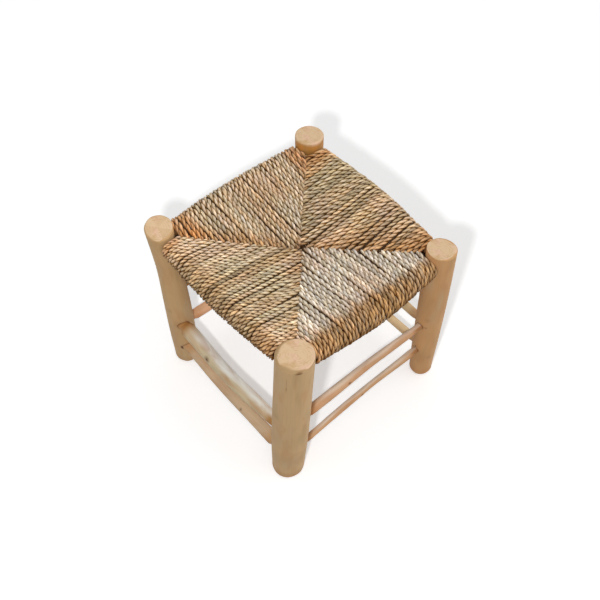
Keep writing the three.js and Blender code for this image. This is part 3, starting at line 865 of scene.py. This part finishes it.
def cordTint(points, side, length, rng, seed):
    # Colours by region, by course and along the course, as weights between palm tones.
    # Ranges are millimetres on the seat, and the other numbers weights.
    x, y = points[:, 0], points[:, 1]
    field = planeNoise(x / 34 + seed % 7, y / 34 + seed % 5, 17)
    fieldB = planeNoise(x / 47 + 9, y / 47 + 4, 29)
    course = rng.normal(0, 0.22)
    drift = valueNoise(length / 42 + rng.uniform(0, 500), 5)
    weights = {name: np.zeros_like(x) for name in tones}

    def add(**shares):
        for name, share in shares.items():
            weights[name] += share

    def upTo(most, share):
        return np.clip(share, 0, most)

    # Regions: the rounded edge, the corner, the band beside a mitre and the mitre itself
    outermost, least = np.maximum(np.abs(x), np.abs(y)), np.minimum(np.abs(x), np.abs(y))
    # The rounded edge's gold, orange and brown are partly the cord's own colour and partly painted shade where it turns
    # from the light
    edge = ramp(outermost, 134, 150)
    cornerArea = ramp(least, 86, 112)
    mitreBand = 1 - ramp(outermost - least, 8, 34)
    mitre = 1 - ramp(outermost - least, 3, 12)
    blush = 0.6 * drift - 0.9 * field
    if side == "right":
        edge = ramp(outermost + 9 * drift - 11 * ramp(y, 0, 100), 128, 154)
        cornerArea = cornerArea * lerp(0.2, 0.05, ramp(y, -60, 60))
        mitre = 0
        # The right side's pale grey is partly the cord's own colour and partly a painted sheen
        add(grey=(2.4 + 0.8 * field + course) * (1 - edge), gold=2.2 * edge,
            pink=1.4 * upTo(1.2, 0.2 - 1.2 * field + 0.8 * drift), brown=1.9 * edge * upTo(1.3, 0.7 - drift),
            orange=1.1 * ramp(outermost, 90, 135) * upTo(1.2, fieldB + drift)
            + 1.6 * edge * upTo(1.6, 0.45 + fieldB + 1.2 * drift) + 2.6 * ramp(outermost, 135, 147))
    elif side == "back":
        cornerArea = cornerArea * lerp(1, 0.3, ramp(x, 60, 110))
        add(grey=0.25, green=0.7 * upTo(1.3, 0.5 - x / 110 + 0.6 * field),
            pink=upTo(1, 0.2 + blush), brown=0.35 + 0.3 * ramp(x, 60, 110),
            orange=upTo(1.2, 0.25 + x / 150 + 0.8 * fieldB + 0.5 * drift) + 1.3 * mitreBand * ramp(x, -5, 30))
    elif side == "left":
        add(grey=upTo(1, 0.45 + 0.6 * field + course), pink=upTo(1, 0.3 + blush),
            orange=upTo(1, -0.15 + 0.7 * fieldB + 0.5 * drift - y / 260) + 1.8 * mitreBand * ramp(-y, -5, 30)
            + 1.1 * ramp(-y, 66, 108) * upTo(1.5, 0.8 + 0.6 * drift),
            rust=1.5 * mitreBand * ramp(-y, 62, 100) * upTo(1.8, 0.9 + 0.8 * drift))
    else:
        leftEnd = 0.6 * ramp(-x, 106, 118) * ramp(outermost, 128, 142)
        cornerArea = cornerArea * lerp(leftEnd, 0.12, ramp(x, -60, 60))
        add(grey=0.35 + 0.5 * ramp(x, 30, 110) * (1 - edge), green=upTo(1, 0.35 + 0.6 * field + course),
            pink=upTo(1, 0.2 + blush), gold=0.8 * edge,
            orange=upTo(1, -0.1 + 0.6 * fieldB + 0.5 * drift + x / 400) + 1.6 * bell((x + 8) / 7)
            + 0.6 * mitreBand * ramp(x, -5, 30),
            brown=1.6 * edge * ramp(x, -130, -70), rust=1.5 * edge * ramp(x, 60, 115))
    add(straw=1, orange=2.5 * cornerArea + 1.1 * mitre * upTo(1.2, 0.5 + drift),
        rust=2.5 * cornerArea * upTo(1.8, 1 + 0.8 * drift), brown=0.15 + 0.35 * upTo(1, drift))

    shares = {name: np.clip(weight, 0, None) for name, weight in weights.items()}
    tint = sum(share[:, None] * linear(tones[name]) for name, share in shares.items())
    tint = tint / sum(shares.values())[:, None]
    # Painted shade in the hollows
    for spotX, spotY, radius, dark in shadedHollows:
        near = dark * bell(np.hypot(x - spotX, y - spotY) / radius)
        tint = lerp(tint, linear(hollowShadeTint), near[:, None])
    lighter = (0.18 * ramp(-x, 70, 120) + 0.25 * ramp(x, 60, 120)) * ramp(-y, 60, 110)
    lighter = lighter + 0.18 * ramp(-x, 80, 120) * ramp(y, 80, 120)
    return tint * (1 + 0.1 * rng.standard_normal() + 0.1 * drift + lighter)[:, None]


def windingShade(side, onWrap, depth, sideways, height, around):
    # Colour factors from valley to crest: painted shade between plies, between courses and below, and a painted
    # highlight on the crests
    plyShade = lerp(seat["plyShade"][side], 1, onWrap)
    gapShade = lerp(seat["gapShade"][side], seat["wrapGap"][side], onWrap)
    underShade = seat["underShade"] * lerp(seat["underFlat"], 1, onWrap)
    bright = lerp(1, ramp(depth, -0.05, 0.68) * ramp(np.cos(around), -0.9, 0.1), plyShade)
    bright = bright * (1 - gapShade * ramp(sideways, 0.45, 0.95))
    bright = bright * (1 - underShade * ramp(seat["underFrom"] - height, 0, seat["underReach"]))
    crest = lerp(np.array(seat["body"][side]), np.array(seat["crest"]), ramp(depth, 0.25, 0.95)[..., None])
    crest = crest * lerp(1, seat["wrapShade"][side], onWrap)[..., None]
    return lerp(np.array(seat["valley"]), crest, bright[..., None])


def cordCourse(line, onRail, mitreInset, railInset, signs, side, rng, seed):
    # Two plies carried round each other along the course: each centre turns about the
    # cord's axis once in a lay, and each section is a lumpy circle of leaf strips
    settle = ease(onRail)
    step = np.linalg.norm(np.diff(line, axis=0), axis=1)
    length = np.concatenate([[0], np.cumsum(step)])

    def drift(scale, noiseSeed):
        return valueNoise(length / scale + rng.uniform(0, 900), noiseSeed)

    lateral = lerp(mitreInset, railInset, settle) + seat["wander"] * drift(19, 3)
    alongX = side in ("front", "back")
    fromX, fromY = (lateral, line[:, 0]) if alongX else (line[:, 0], lateral)
    height = line[:, 1] + seat["sink"] * drift(27, 7)
    axis = seatPlace(signs[0] * (half - fromX), signs[1] * (half - fromY), height)
    forward = np.gradient(axis, axis=0)
    forward /= np.linalg.norm(forward, axis=1)[:, None]
    normal = np.cross([1, 0, 0] if alongX else [0, 1, 0], forward)
    normal /= np.linalg.norm(normal, axis=1)[:, None] * np.sign(normal[len(normal) // 9, 2])
    across = np.cross(forward, normal)
    thick = seat["thickness"] * (1 + seat["thickSpread"] * rng.standard_normal())
    thick = thick * (1 + seat["thickDrift"] * drift(23, 11))
    lay = seat["lay"] * (1 + seat["laySpread"] * rng.standard_normal())
    # On some sides the cord is twisted tighter where it goes over the rail
    twisted = np.concatenate([[0], np.cumsum(step * (1 + seat["wrapTwist"][side] * settle[1:]))])
    turn = fullTurn * twisted / lay + rng.uniform(0, fullTurn) + seat["turnDrift"] * drift(27, 13)
    tint = cordTint(axis, side, length, rng, seed)
    onWrap = ramp(onRail, 0.8, 1)[:, None]
    t, s = np.arange(seat["sideCount"])[None, :] * fullTurn / seat["sideCount"], length[:, None]
    for ply in (0, 1):
        at = (turn + ply * math.pi)[:, None]
        outward = np.cos(at) * normal + np.sin(at) * across
        beside = np.cross(forward, outward)
        centre = axis + outward * (thick * seat["plyOffset"])[:, None]
        phase = rng.uniform(0, fullTurn, 3)
        lump = 1 + seat["lumpDrift"] * valueNoise(s / 7 + phase[2] * 80, 19)
        lump = lump * (1 + waves(seat["plyWaves"], t, s, phase))
        radius = (thick * seat["plyRadius"])[:, None] * lump
        grain = poleGrain(radius, t, s)
        rings = (centre[:, None, :] + grain[..., :1] * outward[:, None, :]
                 + grain[..., 1:2] * seat["plyWide"] * beside[:, None, :])
        grain = grain * millimetre + rng.uniform(0, 4, 3)
        # Leaf strips differ in colour, with dark notches where one ends
        place = s / 5 + 1.6 * np.sin(t + phase[0]) + phase[1] * 90
        flecks = 1 + 0.28 * valueNoise(place, 23)[..., None] + valueNoise(place * 0.7, 31)[..., None] * seat["fleck"]
        notches = ramp(valueNoise(place * 2.4 + 5 * t / math.pi, 37), 0.2, 0.9)[..., None] * seat["notch"]
        colours = tint[:, None, :] * flecks * (1 - notches) * (1.1 + 0.08 * rng.standard_normal())
        fromAxis = (rings - axis[:, None, :]) / (thick / 2)[:, None, None]
        depth, sideways = ((fromAxis * way[:, None, :]).sum(-1) for way in (normal, across))
        colours = colours * windingShade(side, onWrap, depth, np.abs(sideways), rings[..., 2], t)
        yield withEnds(rings, centre[[0, -1]]), *(withEnds(grid, grid[[0, -1], 0]) for grid in (grain, colours))


def weaveCorner(key, corner):
    # All courses of one corner: over one rail and then over the next, one mesh for each side
    leg = legs["leg_" + key]
    rng = np.random.default_rng(corner["seed"])
    near = np.exp(-np.arange(seat["coursesPerCorner"]) / seat["hugCourses"])
    insets = courseInsets(leg, rng, seat["mitreEnding"])
    mitres = insets - seat["hug"] * near
    for which in ("over", "under"):
        side = corner[which]
        railInsets = lerp(insets, courseInsets(leg, rng, seat["railEnding"]), seat["railOwnShare"])
        parts, start = [], 0
        for k, inset in enumerate(mitres):
            line, onRail = courseLine(side, float(inset), corner["lift"] * near[k], which == "over")
            plies = cordCourse(line, onRail, inset, railInsets[k], leg["side"], side, rng, corner["seed"])
            for points, grain, tint in plies:
                parts.append((points, *tubeFaces(len(line), seat["sideCount"], start), grain, tint))
                start += len(points)
        points, quads, fans, grain, tint = (np.concatenate(part) for part in zip(*parts))
        makePiece("seat_cord_" + key + "_" + side, points, quads, fans, palmCord, "palm_cord", ["woven_seat"],
                  grain=grain, tint=tint)


def makeCore(side):
    # The inner runs of cord as one body a side, coloured dark brown as painted shade: closed profiles carried
    # along the rail, each from the mitre over and round the rail, back below and up again at the mitre
    ends = [half - float(legRadius(legs[name], railShare)) - seat["coreClearance"] for name in sides[side]]
    flat = np.linspace(0, 0.95, seat["coreFlat"])[:, None]
    rings = []
    for place in np.linspace(-ends[0], ends[1], seat["coreRings"]):
        inset = half - abs(place)
        radius, bow, top, low, topTouch, lowTouch = railSection(side, inset, seat["core"])
        wrap = roundRail(radius, bow, np.linspace(topTouch, lowTouch, seat["coreTurns"]))
        inner = inset - 0.3
        profile = np.concatenate([lerp(np.array([inner, top]), wrap[0], flat), wrap,
                                  lerp(np.array([inner, low]), wrap[-1], flat)[::-1]])
        forward = np.full(len(profile), place)
        inward = half - profile[:, 0]
        x, y = {"front": (forward, -inward), "right": (inward, forward),
                "back": (-forward, inward), "left": (-inward, -forward)}[side]
        rings.append(seatPlace(x, y, profile[:, 1]))
    rings = np.array(rings)
    points = withEnds(rings, [rings[0].mean(0), rings[-1].mean(0)])
    makePiece("seat_core_" + side, points, *tubeFaces(*rings.shape[:2]), palmCord, "palm_cord", ["woven_seat"],
              grain=points * millimetre, tint=np.tile(linear(seat["coreShadeTint"]), (len(points), 1)))


for key, corner in corners.items():
    weaveCorner(key, corner)
for side in sides:
    makeCore(side)
print("seat woven")


# Floor, lamps and world

studio = {
    "floorSize": 8, "floorColour": 0.45, "seenColour": 1, "seenGlow": 0.31,
    "keyPower": 13, "keyRadius": 0.03, "keyLeft": 0.106, "keyDown": 0.093,
    "sideStrength": 0.6, "sideAngle": 20, "sideTurn": 60, "sideHeight": 30,
    "skyLow": 0.35, "skyHigh": 0.6, "skyRight": 0.4, "skyTowards": (0.656, 0.755),
}


def seenDirectly(desk):
    # 1 for rays from the camera and rays by mirror or glass, otherwise 0
    path = desk.node("LightPath")
    seen = desk.math("MAXIMUM", path.outputs["Is Camera Ray"], path.outputs["Is Glossy Ray"])
    return desk.math("MAXIMUM", seen, path.outputs["Is Transmission Ray"])


def makeFloor():
    # Dull where it lights the stool, and white where it is seen
    reach = studio["floorSize"] / 2
    mesh = bpy.data.meshes.new("floor")
    mesh.from_pydata([(x * reach, y * reach, 0) for x, y in ((-1, -1), (1, -1), (1, 1), (-1, 1))], [], [(0, 1, 2, 3)])
    floor = addObject("floor", mesh)
    material = bpy.data.materials.new("paleFloor")
    desk = openTree(material)
    plain, seen = (desk.fill(desk.node("BsdfDiffuse"), Color=(level, level, level, 1))
                   for level in (studio["floorColour"], studio["seenColour"]))
    glow = desk.fill(desk.node("Emission"), Strength=studio["seenGlow"])
    both = desk.joined("AddShader", seen.outputs[0], glow.outputs[0])
    chosen = desk.joined("MixShader", seenDirectly(desk), plain.outputs[0], both.outputs[0])
    desk.surface("OutputMaterial", chosen)
    mesh.materials.append(material)
    floor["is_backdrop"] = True


def makeLamps():
    # A small lamp beside the camera, the same strength at every distance: it draws the
    # soft shadow that follows the outline
    key = bpy.data.lights.new("key", "POINT")
    key.energy, key.shadow_soft_size = studio["keyPower"], studio["keyRadius"]
    desk = openTree(key)
    falloff = desk.fill(desk.node("LightFalloff"), Strength=1)
    desk.surface("OutputLight", desk.fill(desk.node("Emission"), Strength=falloff.outputs["Constant"]))
    addObject("key", key).location = cameraPlace - cameraRight * studio["keyLeft"] - cameraUp * studio["keyDown"]

    # Light from the far right, on the stool alone
    side = bpy.data.lights.new("side", "SUN")
    side.energy, side.angle = studio["sideStrength"], math.radians(studio["sideAngle"])
    holder = addObject("side", side)
    turn, level = math.radians(studio["sideTurn"]), math.radians(studio["sideHeight"])
    towards = Vector((math.cos(turn) * math.cos(level), math.sin(turn) * math.cos(level), math.sin(level)))
    holder.rotation_euler = towards.to_track_quat("Z", "Y").to_euler()
    lit = bpy.data.collections.new("stool")
    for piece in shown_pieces():
        lit.objects.link(piece)
    holder.light_linking.receiver_collection = lit


def makeSky():
    # Brighter overhead than at the horizon, and brighter to one side
    world = bpy.data.worlds.new("world")
    desk = openTree(world)
    split = desk.joined("SeparateXYZ", desk.node("TexCoord").outputs["Generated"])
    toRight = desk.plus(*(desk.times(split.outputs[axis], share) for axis, share in zip("XY", studio["skyTowards"])))
    overhead, fromRight = (desk.math("POWER", desk.math("MAXIMUM", way, 0), 2)
                           for way in (split.outputs["Z"], toRight))
    level = desk.plus(desk.times(overhead, studio["skyHigh"] - studio["skyLow"]), studio["skyLow"])
    level = desk.plus(level, desk.times(fromRight, studio["skyRight"]))
    sky = desk.fill(desk.node("Background"), Color=(1, 1, 1, 1),
                    Strength=desk.math("MAXIMUM", level, seenDirectly(desk)))
    desk.surface("OutputWorld", sky)
    bpy.context.scene.world = world


makeFloor()
makeLamps()
makeSky()
bpy.context.scene.view_settings.view_transform = "Standard"
print("studio ready")

triangles = {o.name: sum(len(p.vertices) - 2 for p in o.data.polygons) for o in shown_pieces()}
print("triangles", sum(triangles.values()), "largest", max(triangles.items(), key=lambda item: item[1]))
